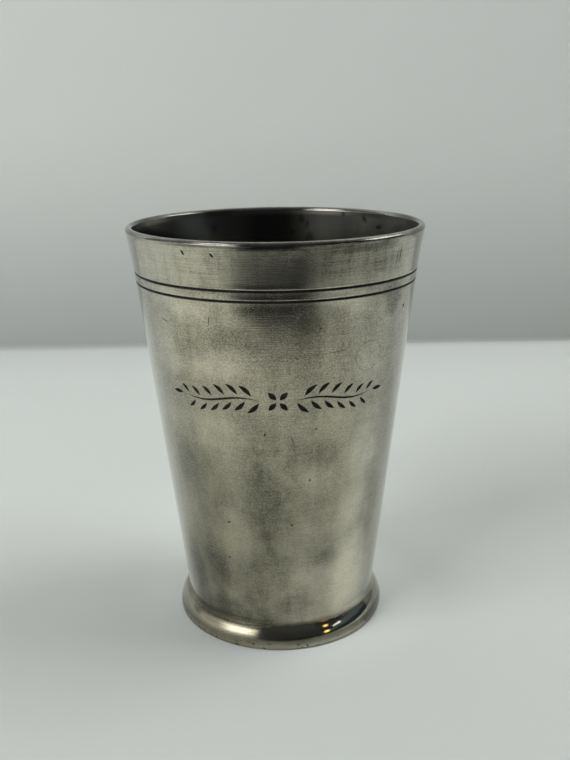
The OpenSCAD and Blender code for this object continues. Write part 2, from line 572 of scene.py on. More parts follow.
line_heights = sorted(HEIGHT - drop for drop in LINE_DROPS)
rows = [SEAT_Z + ROW * step for step in range(int((LIP_Z - SEAT_Z) / ROW))]
rows = [z for z in rows if all(not -0.7 * ROW < z - line < 1.3 * ROW for line in line_heights)]
outside = [(wall_radius(z), z) for z in rows]
for line in line_heights:
    outside += line_section(line)
outside.sort(key=lambda point: point[1])
lip = arc((LIP_RADIUS - WALL_THICK / 2, LIP_Z), WALL_THICK / 2, 0.0, math.pi, LIP_STEPS)
inside = [(wall_radius(z) - WALL_THICK, z) for z in reversed(rows[::2])]
wall = turn_outline("wall", outside + lip + inside)
print("wall faces:", len(wall.data.polygons))

# %% [markdown]
# ## Foot ring
# The foot is a heavier ring, turned so that a hollow neck runs out of the wall into a swelling and
# ends in a rounded edge on the table. Its socket holds the wall's lower end, and a ledge carries
# the wall and the base plate. The neck is drawn so that it meets the wall with no step, as a
# soldered joint does once it has been turned and rubbed down.

# %% Outline of the foot ring
FILM = 0.05 * MM
SWELL_LOW = 7.0 * MM
SWELL_HIGH = 9.9 * MM
SWELL_TURN = math.radians(22)
EDGE_RADIUS = 0.5 * MM
NECK_RADIUS = 2.8 * MM
NECK_SINK = 0.006 * MM
REST_WIDE = 2.6 * MM
LEDGE_THICK = 1.4 * MM
LEDGE_WIDE = 2.2 * MM
HOLLOW_RADIUS = FOOT_RADIUS - EDGE_RADIUS - REST_WIDE
LEDGE_RADIUS = wall_radius(SEAT_Z) - WALL_THICK - FILM - LEDGE_WIDE

up_wall = Vector((math.sin(LEAN), math.cos(LEAN)))
off_wall = Vector((math.cos(LEAN), -math.sin(LEAN)))
low_centre = Vector((FOOT_RADIUS - SWELL_LOW, EDGE_RADIUS))
turn_way = Vector((math.cos(SWELL_TURN), math.sin(SWELL_TURN)))
high_centre = low_centre + (SWELL_LOW - SWELL_HIGH) * turn_way
neck_start = Vector((TAPER_RADIUS - NECK_SINK, 0.0)) + NECK_RADIUS * off_wall
lead = neck_start - high_centre
along = lead.dot(up_wall)
reach = (SWELL_HIGH + NECK_RADIUS) ** 2 - lead.length_squared
neck_centre = neck_start + (math.sqrt(along**2 + reach) - along) * up_wall
swell_end = math.atan2(*reversed(neck_centre - high_centre))
print("swelling turns through degrees:", round(math.degrees(swell_end), 1))

# %% Turn the foot ring
edge_centre = (FOOT_RADIUS - EDGE_RADIUS, EDGE_RADIUS)
foot_outline = [(HOLLOW_RADIUS, 0.0)]
foot_outline += arc(edge_centre, EDGE_RADIUS, -math.pi / 2, 0.0, 8)
foot_outline += arc(low_centre, SWELL_LOW, 0.0, SWELL_TURN, 12)[1:]
foot_outline += arc(high_centre, SWELL_HIGH, SWELL_TURN, swell_end, 14)[1:]
foot_outline += arc(neck_centre, NECK_RADIUS, math.pi + swell_end, math.pi - LEAN, 14)[1:]
ring_top = foot_outline[-1][1]
foot_outline += [
    (wall_radius(SEAT_Z) + FILM, SEAT_Z),
    (LEDGE_RADIUS, SEAT_Z),
    (LEDGE_RADIUS, SEAT_Z - LEDGE_THICK),
    (HOLLOW_RADIUS, SEAT_Z - LEDGE_THICK),
]
foot = turn_outline("foot", foot_outline)
print("top of the foot ring in mm:", round(ring_top / MM, 2))

# %% [markdown]
# ## Base plate and solder
# The base plate is a disc whose edge follows the bore. A seam of solder fills the corner above it
# and another the corner below it. A seam's face is hollow, because molten solder is drawn into the
# corner.

# %% Base plate and seams
plate_low, plate_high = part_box("base_plate")
FLOOR_SEAM = 1.3 * MM
LEDGE_SEAM = 0.9 * MM
SEAM_HOLLOW = 0.35
PLATE_RINGS = [radius * MM for radius in (4, 8, 12, 16, 20)]


def inside_fit(z):
    """Radius of the faces that are sweated to the inside of the wall."""
    return wall_radius(z) - WALL_THICK - FILM


def seam_outline(corner, leg_a, leg_b, steps=10):
    """Outline of a hollow seam in a corner, between the ends of its two legs."""
    corner, leg_a, leg_b = Vector(corner), Vector(leg_a), Vector(leg_b)
    pull = corner + SEAM_HOLLOW * (leg_a + leg_b)
    shares = [step / steps for step in range(steps + 1)]
    face = [
        (1 - s) ** 2 * (corner + leg_a) + 2 * s * (1 - s) * pull + s**2 * (corner + leg_b)
        for s in shares
    ]
    return [tuple(point) for point in [corner, *face]]


floor_z = plate_high.z
plate_outline = [(0.0, plate_low.z)]
plate_outline += [(radius, plate_low.z) for radius in PLATE_RINGS]
plate_outline += [(inside_fit(plate_low.z), plate_low.z), (inside_fit(floor_z), floor_z)]
plate_outline += [(radius, floor_z) for radius in reversed(PLATE_RINGS)] + [(0.0, floor_z)]
plate = turn_outline("plate", plate_outline)
floor_corner = (inside_fit(floor_z), floor_z)
floor_seam = turn_outline(
    "floor_seam", seam_outline(floor_corner, (-FLOOR_SEAM, 0.0), (SLOPE * FLOOR_SEAM, FLOOR_SEAM))
)
ledge_corner = (LEDGE_RADIUS - FILM, SEAT_Z)
ledge_seam = turn_outline(
    "ledge_seam", seam_outline(ledge_corner, (-LEDGE_SEAM, 0.0), (0.0, -LEDGE_SEAM))
)
for piece in (foot, plate, floor_seam, ledge_seam):
    smooth(piece)
print("floor of the beaker in mm:", round(floor_z / MM, 2))

# %% [markdown]
# ## Pewter with a patina
# Old pewter is grey with a warm, uneven patina. It is paler where hands rub it and darker in
# clouds and smears, with a fine grain, and turned lines run round it. Wall and foot share one
# patina, so that it runs on across their joint. Noise gives the clouds, the upright smears and the
# grain, and a slow change of hue from grey to a warmer grey in the middle. The larger stains and
# rubbed places have their own places, so they are drawn one by one on the unrolled wall. Some of
# them are painted light: dark places in the middle of the front stand for the dark room that the
# wall mirrors, dark places just above the foot for shade at the joint, and a pale place low on the
# right for a sheen.

# %% Clouds and turned lines
def clouds(place, scale, detail, stretch=(1.0, 1.0, 1.0), shift=(0.0, 0.0, 0.0), out=0):
    """Noise of a given scale per metre, stretched along the axes."""
    moved = place.node("ShaderNodeMapping", (), {"Vector": place, "Scale": stretch, "Location": shift})
    sockets = {"Vector": moved, "Scale": scale, "Detail": detail, "Roughness": 0.58}
    return place.node("ShaderNodeTexNoise", (), sockets, out)


def turned_lines(place):
    """Fine streaks that run round the axis."""
    return clouds(place, 22.0, 4.0, stretch=(1.0, 1.0, 170.0))


print("clouds are ready")

# %% Stains on the unrolled wall
MIDDLE_RADIUS = wall_radius(HEIGHT / 2)
WANDER = 6 * MM

# Each stain has its angle in degrees, its height, half width and half height in mm, and how much
# darker it is. They are listed from the lip down. They are partly patina and partly painted shade:
# those in the middle of the front stand for the dark room that the wall mirrors there, and those
# just above the foot for shade at the joint.
STAINS_AND_SHADE = (
    (27, 103, 10, 2, 0.6),
    (38, 103, 6, 2, 0.5),
    (-19, 100.5, 4, 3.5, 0.25),
    (28, 99, 13, 5, 0.75),
    (-23, 98, 4, 5, 0.2),
    (46, 98, 7, 8, 0.42),
    (0, 90.6, 9, 1.8, 0.4),
    (50, 89.5, 4, 4, 0.5),
    (13, 86.5, 3, 2.5, 0.25),
    (-15, 83, 9, 3.5, 0.25),
    (-33, 79.5, 6, 2.5, 0.15),
    (-12, 61, 4, 7, 0.08),
    (-3, 61, 4, 4, 0.18),
    (22, 55, 4, 5, 0.28),
    (8, 54, 9, 6, 0.22),
    (-45, 50, 7, 11, 0.3),
    (-8, 46, 5, 20, 0.24),
    (-4, 42, 5, 16, 0.2),
    (5, 40, 6, 9, 0.18),
    (21, 40, 6, 6, 0.14),
    (52, 37, 5, 12, 0.3),
    (-6, 36, 22, 24, 0.26),
    (9, 28, 5, 7, 0.16),
    (-8, 27, 5, 9, 0.1),
    (23, 27, 5.5, 5.5, 0.32),
    (24, 25, 3, 3, 0.2),
    (-43, 20, 9, 14, 0.38),
    (-12, 17, 4.5, 11, 0.2),
    (-57, 16, 6, 12, 0.5),
    (-12, 15, 22, 12, 0.16),
    (-19, 13.5, 3, 2.5, 0.25),
    (8, 11.5, 7, 4, 0.36),
    (-39, 9, 11, 6, 0.22),
    (-24, 7.5, 16, 5, 0.34),
)

# Each rubbed place is given in the same way, with how much paler it is. They are partly wear and
# partly painted sheen: the large one low on the right stands for light from the right.
RUBBED_AND_SHEEN = (
    (6.5, 103, 4, 2, 0.4),
    (-42, 99, 14, 5, 0.2),
    (24, 95, 5, 4, 0.2),
    (21, 92, 5, 3, 0.4),
    (-36, 91, 12, 3, 0.3),
    (30, 91, 4, 2.5, 0.2),
    (34, 90, 3, 3, 0.22),
    (-42, 89, 9, 6, 0.14),
    (-16, 88.5, 4, 3.5, 0.3),
    (-35, 88, 4, 3, 0.22),
    (17, 87, 3, 4, 0.15),
    (-9, 86.5, 4, 2, 0.25),
    (-7, 84.5, 3.5, 3, 0.2),
    (-1, 84, 7, 4, 0.15),
    (-51, 83, 4, 5, 0.3),
    (-49, 77, 5, 5, 0.3),
    (-24, 76, 8, 4.5, 0.42),
    (-44, 75, 3, 3, 0.2),
    (41, 74, 5, 5, 0.3),
    (-48, 60, 5, 6, 0.2),
    (-27, 60, 6, 5, 0.2),
    (32, 60, 11, 7, 0.16),
    (-3.5, 53.5, 2.5, 3, 0.2),
    (1, 52, 2.2, 7, 0.16),
    (42, 52, 6, 7, 0.35),
    (14, 48, 4, 4, 0.14),
    (37, 38, 6, 6, 0.25),
    (-25, 33, 6, 8, 0.22),
    (-38, 30, 5, 5, 0.15),
    (-13, 28, 4, 6, 0.1),
    (-9.5, 20, 3.5, 3, 0.2),
    (12, 19.5, 4, 3, 0.18),
    (42, 16, 9, 14, 0.55),
    (-43, 13, 3, 2.5, 0.2),
    (-31, 13, 3, 2.5, 0.2),
)


def flat_wall(place):
    """The wall laid flat: arc length, height and nothing."""
    x, y, z = (part_of(place, axis) for axis in range(3))
    arc_length = x.math("ARCTAN2", x, 0.0 - y) * MIDDLE_RADIUS
    return place.node("ShaderNodeCombineXYZ", (), {"X": arc_length, "Y": z})


def unrolled(place):
    """The wall laid flat, with wandering edges."""
    flat = flat_wall(place)
    wander = place.vector("SUBTRACT", clouds(place, 130.0, 3.0, out=1), (0.5, 0.5, 0.5))
    return place.vector("ADD", flat, place.vector("MULTIPLY", wander, (WANDER, WANDER, WANDER)))


def soft_patch(flat, angle, z, half_wide, half_tall):
    """1 in the middle of a patch, fading to 0 past its edge."""
    middle = (math.radians(angle) * MIDDLE_RADIUS, z * MM, 0.0)
    size = (half_wide * MM, half_tall * MM, 1.0)
    away = flat.vector("DIVIDE", flat.vector("SUBTRACT", flat, middle), size)
    return flat.vector("LENGTH", away, out="Value").ease(1.25, 0.3)


print("stains:", len(STAINS_AND_SHADE), "rubbed places:", len(RUBBED_AND_SHEEN))

# %% Patina
PALE_GREY = rgb(0.786, 0.741, 0.608)
PALE_WARM = rgb(0.795, 0.732, 0.548)
DARK_GREY = rgb(0.09, 0.087, 0.062)
DARK_WARM = rgb(0.091, 0.086, 0.054)


def patina_and_painted_light(place):
    """Tone of the metal, painted shade and sheen included: about 0 where it is rubbed bare or lit, and
    1 in the darkest smears or shade.
    """
    broad = clouds(place, 48.0, 4.0, shift=(0.3, 0.1, 0.2)).ease(0.32, 0.7)
    smears = clouds(place, 85.0, 3.0, (1.0, 1.0, 0.22), (0.7, 0.2, 0.0)).ease(0.35, 0.7)
    strips = clouds(place, 230.0, 3.0, (1.0, 1.0, 0.1), (0.4, 0.9, 0.0)).ease(0.35, 0.68)
    mottle = clouds(place, 330.0, 4.0).ease(0.3, 0.72)
    grain = clouds(place, 2500.0, 2.0, (1.0, 1.0, 1.5)).ease(0.33, 0.67)
    grain = grain * (0.3 + 0.28 * part_of(place, 2).ease(30 * MM, 85 * MM))
    tone = -0.07 + 0.17 * broad + 0.2 * smears + 0.14 * strips + 0.13 * mottle + grain
    flat = unrolled(place)
    for angle, z, half_wide, half_tall, amount in STAINS_AND_SHADE:
        tone = tone + amount * soft_patch(flat, angle, z, half_wide, half_tall)
    for angle, z, half_wide, half_tall, amount in RUBBED_AND_SHEEN:
        tone = tone - amount * soft_patch(flat, angle, z, half_wide, half_tall)
    return tone


def warm(place, tone):
    """Colour of the patina at a tone, with a slow change of hue."""
    x, z = part_of(place, 0), part_of(place, 2)
    hue = 0.6 + 0.4 * clouds(place, 140.0, 2.0, shift=(0.9, 0.4, 0.1)).ease(0.35, 0.65)
    hue = hue * x.ease(-28 * MM, -18 * MM) * x.ease(24 * MM, 10 * MM)
    hue = hue * (1 - 0.5 * z.ease(88 * MM, 93 * MM))
    hue = hue * (1 - 0.5 * z.ease(40 * MM, 26 * MM) * x.ease(-2 * MM, 6 * MM))
    pale = hue.mix(PALE_GREY, PALE_WARM)
    dark = hue.mix(DARK_GREY, DARK_WARM)
    return ((tone + 0.5) / 1.7).mix(pale, dark)


print("patina is ready")

# %% [markdown]
# ## Finish of the wall
# The wall was rubbed to a satin: it mirrors, but softly. The band above the scribed lines was
# brushed on the lathe. Brushed metal spreads a reflection across its strokes, so the band gets more
# anisotropy, turned a quarter because its strokes run round the axis. A film of tarnish makes the
# metal's edges neutral when seen aslant, which a thin coat does too. Pits and hair scratches have
# collected dirt, as has a faint ring, and blacking has spread a little below the scribed lines. The
# crease under the lip and the wall just above the foot are darker, partly as dirt and partly as
# painted shade. Scratches are the thin lines along which a stretched noise passes one value. On the
# band, upright strokes of a cloth cross the turned ones.

# %% Wear
def scratches(place, scale, turn, stretch, thin):
    """Thin lines in one direction over the unrolled wall."""
    sockets = {"Vector": flat_wall(place), "Rotation": (0.0, 0.0, turn)}
    turned = place.node("ShaderNodeMapping", (), sockets)
    noise = clouds(turned, scale, 1.0, stretch=(1.0, stretch, 1.0))
    near = noise.math("ABSOLUTE", noise - 0.5).ease(thin, 0.0)
    here = clouds(place, 120.0, 1.0, shift=(turn, 0.3, 0.8)).ease(0.52, 0.7)
    return near * here


def ring_mark(place, angle, z, radius):
    """A faint, broken ring on the wall, as a small drop or a round foot leaves it."""
    middle = (math.radians(angle) * MIDDLE_RADIUS, z, 0.0)
    far = place.vector("DISTANCE", flat_wall(place), middle, "Value")
    near = far.math("ABSOLUTE", far - radius).ease(0.3 * MM, 0.08 * MM)
    return near * clouds(place, 420.0, 2.0, shift=(0.6, 0.1, 0.3)).ease(0.3, 0.5)


def pits(place, scale, radius):
    """Round pits in some of the cells of a random net."""
    sockets = {"Vector": place, "Scale": scale}
    far = place.node("ShaderNodeTexVoronoi", {"feature": "F1"}, sockets, "Distance")
    cell = place.node("ShaderNodeTexVoronoi", {"feature": "F1"}, sockets, "Color")
    chosen = part_of(cell, 0).ease(0.5, 0.95)
    return (far / (radius * scale * (0.2 + 0.8 * chosen))).ease(1.0, 0.5) * chosen.ease(0.0, 0.1)


print("wear is ready")

# %% Finish of the wall
# Dark colour of dirt in pits and foot specks, and of painted shade in the crease under the lip.
DIRT_AND_SHADE = rgb(0.03, 0.028, 0.022)
COAT_ROUGH = 0.16
RING_ANGLE = 39
RING_Z = 77.2 * MM
RING_RADIUS = 3.6 * MM


def wall_pewter(name, brushed):
    """Pewter of the wall's outside. Brushed is 0 on the body and 1 on the band under the lip."""
    material, shader, place = new_finish(name)
    x, z = part_of(place, 0), part_of(place, 2)
    lines = turned_lines(place)
    strokes = clouds(place, 110.0, 3.0, (1.0, 1.0, 55.0), (0.2, 0.6, 0.4)).ease(0.42, 0.72)
    scratch = scratches(place, 260.0, 0.5, 9.0, 0.02) + scratches(place, 300.0, -0.9, 8.0, 0.018)
    scratch = scratch + ring_mark(place, RING_ANGLE, RING_Z, RING_RADIUS)
    pitted = pits(place, 210.0, 0.22 * MM)
    tone = patina_and_painted_light(place) * (1 - 0.4 * brushed) + (0.1 + 0.2 * brushed) * (lines - 0.45)
    # The lowest 10 mm of the wall is darker: painted shade at the joint with the foot, and dirt.
    tone = tone + 0.2 * z.ease(10 * MM, 6.5 * MM)
    tone = tone + (0.14 + 0.2 * brushed) * strokes + 0.26 * scratch
    if brushed:
        cross = clouds(place, 620.0, 2.0, (1.0, 1.0, 0.13), (0.1, 0.3, 0.5)).ease(0.42, 0.72)
        tone = tone + 0.2 * cross - 0.08
    feed(shader, Metallic=1.0, Coat_Weight=0.7, Coat_Roughness=COAT_ROUGH)
    feed(shader, Anisotropic=0.15 + 0.2 * brushed, Anisotropic_Rotation=0.25)
    # Dark crease under the lip: partly dirt, partly painted shade.
    crease_shade_and_dirt = z - 0.35 * MM * x.ease(2 * MM, 10 * MM)
    crease_shade_and_dirt = crease_shade_and_dirt.ease(LIP_Z - 0.6 * MM, LIP_Z - 0.35 * MM) * (0.6 + 0.5 * strokes)
    crease_shade_and_dirt = crease_shade_and_dirt * x.ease(-29 * MM, -17 * MM)
    dirt_and_crease_shade = pitted.math("MAXIMUM", pitted, crease_shade_and_dirt)
    for line in line_heights:
        below = z - (line - LINE_WIDE / 2)
        smudge = below.math("ABSOLUTE", below).ease(0.2 * MM, 0.1 * MM)
        dirt_and_crease_shade = dirt_and_crease_shade.math("MAXIMUM", dirt_and_crease_shade, 0.9 * smudge)
    feed(shader, Base_Color=dirt_and_crease_shade.mix(warm(place, tone), DIRT_AND_SHADE))
    feed(shader, Roughness=0.13 + 0.05 * tone + 0.3 * pitted)
    height_map = (0.3 + 0.3 * brushed) * lines + 0.3 * strokes - 0.6 * scratch - 1.5 * pitted
    feed(shader, Normal=relief(height_map, 0.3, 0.02 * MM))
    wall.data.materials.append(material)
    return material


satin = wall_pewter("satin_pewter", 0)
print("wall finish:", satin.name)

# %% [markdown]
# ## Inside, cut lines and lip
# Inside, drink and age have left the pewter dark. Noise alone would spread that evenly, but the
# tarnish lies in the middle of the back and at both ends, so it is weighed by place, and the larger
# spots are drawn one by one. Part of the dark at the back right is painted shade, and a paler band
# just under the lip is a painted reflection. The lower part, which only shows from above, is duller
# and paler, so that the floor can be seen. The cut lines are filled with blacking. The round lip is
# rubbed bright by every mouth and cloth, and is darker towards the left and the right.

# %% Finish of the inside
INSIDE_PALE = rgb(0.22, 0.22, 0.195)
INSIDE_DARK = rgb(0.08, 0.08, 0.07)
DEEP_PALE = rgb(0.42, 0.41, 0.37)
DEEP_DARK = rgb(0.2, 0.195, 0.17)
TARNISH_AND_SHADE = rgb(0.02, 0.02, 0.018)
# Colours of a paler band just under the lip inside: a painted reflection, dimmer on the right.
UNDER_LIP_SHEEN_LEFT = rgb(0.17, 0.167, 0.147)
UNDER_LIP_SHEEN_RIGHT = rgb(0.085, 0.084, 0.075)
SPOT_COLOUR = rgb(0.012, 0.012, 0.011)

# Each spot inside has its angle in degrees, its height and its half width in mm.
INSIDE_SPOTS = (
    (168, 101.9, 0.9),
    (162.5, 97.2, 1.3),
    (165, 100.8, 0.8),
    (170, 98.5, 0.6),
    (147.5, 103.4, 0.7),
    (135, 102.8, 0.7),
    (125, 101, 0.8),
    (-150, 100, 0.7),
)

dim, dim_shader, place = new_finish("dim_pewter")
lines = turned_lines(place)
inside_tone = 0.6 * clouds(place, 70.0, 4.0, (1.0, 1.0, 0.5)).ease(0.3, 0.7) + 0.6 * (lines - 0.5)
inside_x = part_of(place, 0)
inside_z = part_of(place, 2)
# A paler band just under the lip: painted reflection, dimmer on the right.
sheen_band = inside_z.ease(LIP_Z - 1.5 * MM, LIP_Z - 0.5 * MM)
deep = inside_z.ease(92 * MM, 70 * MM)
right_side = inside_x.ease(2 * MM, 7 * MM)
# Tarnish, and painted shade: the back right is darkened where it would mirror the window.
tarnish_and_shade = 0.8 * inside_x.ease(-17 * MM, -4 * MM) * inside_x.ease(30 * MM, 19 * MM)
tarnish_and_shade = tarnish_and_shade + 0.12 * right_side * inside_x.ease(26 * MM, 15 * MM)
tarnish_and_shade = tarnish_and_shade + 0.85 * inside_x.ease(-24 * MM, -31 * MM)
tarnish_and_shade = tarnish_and_shade + 0.4 * inside_x.ease(24 * MM, 30 * MM)
inside_colour = tarnish_and_shade.mix(inside_tone.mix(INSIDE_PALE, INSIDE_DARK), TARNISH_AND_SHADE)
painted_sheen_colour = right_side.mix(UNDER_LIP_SHEEN_LEFT, UNDER_LIP_SHEEN_RIGHT)
inside_colour = sheen_band.mix(inside_colour, painted_sheen_colour)
inside_colour = deep.mix(inside_colour, inside_tone.mix(DEEP_PALE, DEEP_DARK))
inside_flat = unrolled(place)
spots = pits(place, 130.0, 0.7 * MM)
for angle, height, size in INSIDE_SPOTS:
    spot = soft_patch(inside_flat, angle, height, size, 1.3 * size)
    spots = spots.math("MAXIMUM", spots, 0.75 * spot)
feed(dim_shader, Metallic=1 - 0.45 * deep)
feed(dim_shader, Base_Color=spots.mix(inside_colour, SPOT_COLOUR))
feed(dim_shader, Roughness=0.19 + 0.05 * inside_tone + 0.12 * right_side + 0.2 * deep)
wall.data.materials.append(dim)
print("inside finish:", dim.name)

# %% Finish of the cut lines
BLACKING = rgb(0.004, 0.004, 0.004)
DUST = rgb(0.02, 0.019, 0.016)

black, black_shader, place = new_finish("blackened")
dust = clouds(place, 900.0, 2.0).ease(0.4, 0.8)
feed(black_shader, Base_Color=dust.mix(BLACKING, DUST), Specular_IOR_Level=0.2, Roughness=0.6)
wall.data.materials.append(black)
print("cut lines finish:", black.name)

# %% Finish of the band and the lip
LIP_PALE = rgb(0.4, 0.39, 0.355)
LIP_DARK = rgb(0.2, 0.195, 0.17)
LIP_END = rgb(0.09, 0.088, 0.08)

band = wall_pewter("brushed_pewter", 1)
rim, rim_shader, place = new_finish("lip_pewter")
worn = clouds(place, 170.0, 3.0, shift=(0.2, 0.5, 0.1)).ease(0.35, 0.66)
flecks = clouds(place, 1300.0, 2.0).ease(0.45, 0.7)
rim_tone = 0.6 * worn + 0.4 * flecks
rim_x = part_of(place, 0)
rim_x = rim_x.math("ABSOLUTE", rim_x)
rim_colour = rim_x.ease(30 * MM, 35 * MM).mix(rim_tone.mix(LIP_PALE, LIP_DARK), LIP_END)
feed(rim_shader, Metallic=1.0, Base_Color=rim_colour, Roughness=0.06 + 0.06 * rim_tone)
wall.data.materials.append(rim)
print("band and lip finishes:", band.name, rim.name)

# %% Which finish is where
SATIN_FACE, INSIDE_FACE, BLACK_FACE, BAND_FACE, LIP_FACE = range(5)

for face in wall.data.polygons:
    middle = face.center
    inward = face.normal.xy.dot(middle.xy) < 0
    sunk = wall_radius(middle.z) - middle.xy.length
    if inward and middle.z < LIP_Z:
        face.material_index = INSIDE_FACE
    elif not inward and middle.z < LIP_Z - FLARE_HIGH / 2 and 0.03 * MM < sunk < 0.5 * MM:
        face.material_index = BLACK_FACE if face.normal.z > -0.35 else SATIN_FACE
    elif middle.z > LIP_Z:
        face.material_index = LIP_FACE
    elif middle.z > line_heights[-1]:
        face.material_index = BAND_FACE
print("black faces:", sum(face.material_index == BLACK_FACE for face in wall.data.polygons))

# %% [markdown]
# ## Engraved sprig
# The front carries a plain traditional engraving: a small flower with a leafy sprig on each side.
# An engraver pushes a graver, whose cut is widest and deepest in its middle and ends in points. So
# one cut is modelled flat, as a row of rings, and copied for every leaf. The flat drawing is then
# wrapped round the wall, and one Boolean takes it out of the metal. The cuts never touch, which
# keeps that Boolean clean.

# %% One cut of the graver
CUT_RINGS = 9
CUT_SIDES = 8


def graver_cut(start, turn, length, wide, deep, wave=0.0, bow=0.0):
    """A flat cut that leaves a point at a turn from +X, bent by a wave or a bow."""
    bpy.ops.object.select_all(action="DESELECT")
    bpy.ops.mesh.primitive_circle_add(vertices=CUT_SIDES, radius=1.0, fill_type="NGON")
    cut = bpy.context.active_object
    cut.data.transform(Matrix.Rotation(math.pi / 2, 4, "Y"))
    shares = [(ring + 0.35) / (CUT_RINGS - 0.3) for ring in range(CUT_RINGS)]
    swells = [math.sin(math.pi * share) for share in shares]
    lengths = [length * share for share in shares]
    sides = [bow * 4 * t * (1 - t) + wave * math.sin(2 * math.pi * t) for t in shares]
    cut.data.transform(
        Matrix.Translation((lengths[0], sides[0], 0.0))
        @ Matrix.Diagonal((1.0, wide / 2 * swells[0], deep * swells[0], 1.0))
    )
    bpy.ops.object.mode_set(mode="EDIT")
    bpy.ops.mesh.select_all(action="SELECT")
    for ring in range(1, CUT_RINGS):
        step = (lengths[ring] - lengths[ring - 1], sides[ring] - sides[ring - 1], 0.0)
        bpy.ops.mesh.extrude_region_move(TRANSFORM_OT_translate={"value": step})
        grow = swells[ring] / swells[ring - 1]
        middle = (lengths[ring], sides[ring], 0.0)
        bpy.ops.transform.resize(value=(1.0, grow, grow), center_override=middle)
    bpy.ops.mesh.select_all(action="SELECT")
    bpy.ops.mesh.normals_make_consistent(inside=False)
    bpy.ops.object.mode_set(mode="OBJECT")
    cut.data.transform(
        Matrix.Translation((start[0], start[1], 0.0)) @ Matrix.Rotation(turn, 4, "Z")
    )
    return cut


print("rings in one cut:", CUT_RINGS)

# %% Drawing of the sprig
SPRIG_Z = 68.3 * MM
SPRIG_LONG = 24 * MM
STEM_START = 3.4 * MM
STEM_WAVE = 0.7 * MM
STEM_LONG = SPRIG_LONG - STEM_START
LEAVES = 6
LEAF_STEP = 3.5 * MM
LEAF_TURN = math.radians(42)
LEAF_LONG = 4.1 * MM
LEAF_WIDE = 1.15 * MM
CUT_DEEP = 0.24 * MM
PETALS = 4
PETAL_START = 0.5 * MM

cuts = []
for side in (1, -1):
    facing = 0.0 if side > 0 else math.pi
    start = (side * STEM_START, 0.0)
    cuts.append(graver_cut(start, facing, STEM_LONG, 0.55 * MM, 0.2 * MM, wave=side * STEM_WAVE))
    for leaf in range(LEAVES):
        share = (leaf + 0.55) / (LEAVES + 0.3)
        root = STEM_START + STEM_LONG * share
        stem_y = STEM_WAVE * math.sin(2 * math.pi * share)
        size = 1.0 - 0.32 * share
        for above in (1, -1):
            start = (side * (root + 0.25 * above * LEAF_STEP), stem_y + above * 0.75 * MM)
            turn = above * LEAF_TURN if side > 0 else math.pi - above * LEAF_TURN
            bow = above * side * 0.3 * MM * size
            cuts.append(graver_cut(start, turn, LEAF_LONG * size, LEAF_WIDE * size, CUT_DEEP, bow=bow))
    start = (side * (SPRIG_LONG + 0.5 * MM), 0.0)
    cuts.append(graver_cut(start, facing, 3.4 * MM, 1.0 * MM, CUT_DEEP))
for petal in range(PETALS):
    turn = math.pi / PETALS + petal * 2 * math.pi / PETALS
    start = (PETAL_START * math.cos(turn), PETAL_START * math.sin(turn))
    cuts.append(graver_cut(start, turn, 2.7 * MM, 1.3 * MM, CUT_DEEP))
print("cuts in the sprig:", len(cuts))

# %% Wrap the drawing round the wall
def wrap(cut, angle, z):
    """Moves a flat cut to its angle and height on the wall, so that it follows the curve."""
    for corner in cut.data.vertices:
        across, up, out = corner.co
        height = z + up * math.cos(LEAN)
        turn = angle + across / wall_radius(z)
        radius = wall_radius(height) + out * math.cos(LEAN)
        corner.co = (radius * math.sin(turn), -radius * math.cos(turn), height - out * math.sin(LEAN))


for cut in cuts:
    wrap(cut, 0.0, SPRIG_Z)
sprig_top = max(corner.co.z for cut in cuts for corner in cut.data.vertices)
print("sprig reaches to z in mm:", round(sprig_top / MM, 1))

# %% Nicks and dents of use
# Each nick has its angle in degrees, its height in mm, its turn in degrees, and its length and
# width in mm.
NICKS = (
    (-33.5, 102.2, -55, 1.5, 0.6),
    (-22.1, 102.0, -50, 1.4, 0.55),
    (51.2, 100.0, 88, 4.6, 0.24),
    (49.2, 99.6, 92, 3.8, 0.2),
    (60.2, 86.9, 75, 1.1, 0.6),
    (16.2, 85.4, 20, 0.6, 0.3),
    (17.8, 84.6, 70, 0.5, 0.26),
    (15.2, 84.3, 0, 0.45, 0.22),
    (24.0, 79.5, 4, 5.0, 0.14),
    (-25.8, 87.2, 80, 2.8, 0.15),
    (-5.7, 59.9, 75, 1.0, 0.42),
    (-25.6, 35.3, 10, 0.9, 0.4),
    (14.0, 47.5, 80, 0.8, 0.36),
    (5.8, 35.5, 30, 0.8, 0.4),
    (-27.2, 25.0, 60, 0.9, 0.34),
    (7.4, 78.6, -40, 1.3, 0.2),
    (4.8, 75.0, 60, 0.7, 0.22),
    (15.9, 60.8, 20, 0.9, 0.28),
    (-48.5, 85.5, -18, 3.0, 0.2),
    (5.7, 58.6, -72, 3.4, 0.14),
    (-118, 88, 40, 1.6, 0.3),
    (140, 55, -30, 2.2, 0.2),
    (-165, 31, 70, 1.2, 0.3),
)
NICK_DEPTH_SHARE = 0.4

for angle, z, turn, length, wide in NICKS:
    way = math.radians(turn)
    start = (-length / 2 * MM * math.cos(way), -length / 2 * MM * math.sin(way))
    nick = graver_cut(start, way, length * MM, wide * MM, NICK_DEPTH_SHARE * wide * MM)
    wrap(nick, math.radians(angle), z * MM)
    cuts.append(nick)
print("nicks:", len(NICKS))

# %% Cut the wall
for cut in cuts:
    cut.data.materials.append(black)
choose(*cuts)
bpy.ops.object.join()
all_cuts = bpy.context.active_object
faces_before = len(wall.data.polygons)
choose(wall)
engrave = wall.modifiers.new("engrave", "BOOLEAN")
engrave.operation = "DIFFERENCE"
engrave.solver = "EXACT"
engrave.material_mode = "TRANSFER"
engrave.object = all_cuts
bpy.ops.object.modifier_apply(modifier=engrave.name)
bpy.data.objects.remove(all_cuts)
smooth(wall)
print("faces added by the cuts:", len(wall.data.polygons) - faces_before)

